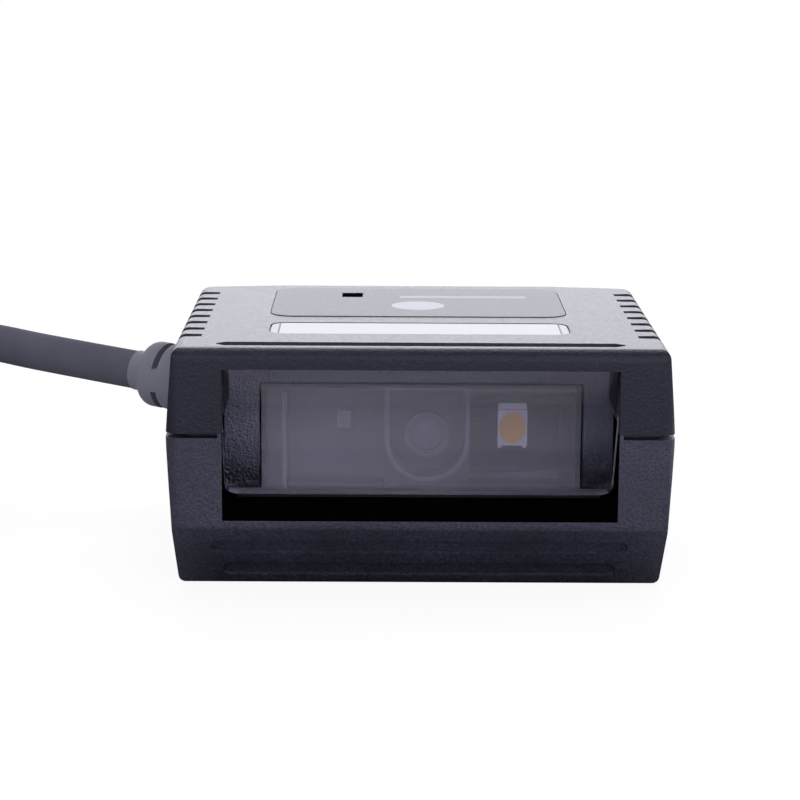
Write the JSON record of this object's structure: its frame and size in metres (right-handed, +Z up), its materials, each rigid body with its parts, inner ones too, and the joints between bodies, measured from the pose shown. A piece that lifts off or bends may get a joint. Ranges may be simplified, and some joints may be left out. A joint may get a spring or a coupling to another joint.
{
  "type": "fixed-mount barcode scan engine",
  "caption": "Compact barcode scan engine in a black split housing, with a leaning clear window, lens and light behind it, and a grey data lead from its side.",
  "frame": {"origin": "middle of the housing's footprint, on the surface that it stands on, without the lead", "axes": "+X to the right as seen from in front of the window, along the housing's width; +Y to the back, away from the window; +Z up through the roof"},
  "size_m": [0.132, 0.0657, 0.0244],
  "materials": {
    "cover_black": "fine spark-eroded texture",
    "window_clear": "polished clear acrylic",
    "foam_black": "closed-cell foam strip",
    "baffle_black": "coarse leather grain",
    "label_pale": "satin label film",
    "overlay_grey": "fine grained label film",
    "lens_smoke": "polished smoke plastic",
    "screw_steel": "zinc plated",
    "insert_brass": "turned and knurled",
    "engine_clear": "polished clear plastic",
    "engine_black": "smooth moulded",
    "lens_coated": "coated glass",
    "sensor_glass": "polished",
    "board_green": "solder mask",
    "led_board_grey": "dark solder mask",
    "led_white": "moulded white package",
    "phosphor_yellow": "silicone fill",
    "chip_black": "moulded package",
    "connector_ivory": "moulded nylon",
    "flex_amber": "polyimide film",
    "wire_cores": "extruded insulation in four colours",
    "lead_grey": "satin extruded sheath",
    "plug_black": "moulded grip",
    "plug_steel": "nickel plated, folded",
    "plug_white": "moulded insulator",
    "contact_gold": "plated contacts"
  },
  "bodies": {
    "root": {"upper_cover": "cover_black", "lower_cover": "cover_black", "window": "window_clear", "window_seal": "foam_black", "light_baffle": "baffle_black", "name_label": "label_pale", "top_overlay": "overlay_grey", "indicator_lens": "lens_smoke", "case_screws": "screw_steel", "mount_inserts": "insert_brass", "engine_cover": "engine_clear", "engine_frame": "engine_black", "lens_barrel": "engine_black", "lens_glass": "lens_coated", "lens_holder": "engine_black", "image_sensor": "sensor_glass", "sensor_board": "board_green", "led_board": "led_board_grey", "illumination_led": "led_white", "led_phosphor": "phosphor_yellow", "aimer_led": "led_white", "engine_screws": "screw_steel", "decoder_board": "board_green", "processor_chip": "chip_black", "memory_chip": "chip_black", "fpc_connector": "connector_ivory", "flex_cable": "flex_amber", "wire_header": "connector_ivory", "wire_plug": "connector_ivory", "lead_wires": "wire_cores", "buzzer": "chip_black", "indicator_led": "led_white", "strain_relief": "lead_grey", "cord": "lead_grey", "cord_coil": "lead_grey", "cord_tail": "lead_grey", "plug_body": "plug_black", "plug_shell": "plug_steel", "plug_tongue": "plug_white", "plug_contacts": "contact_gold"}
  },
  "joints": []
}
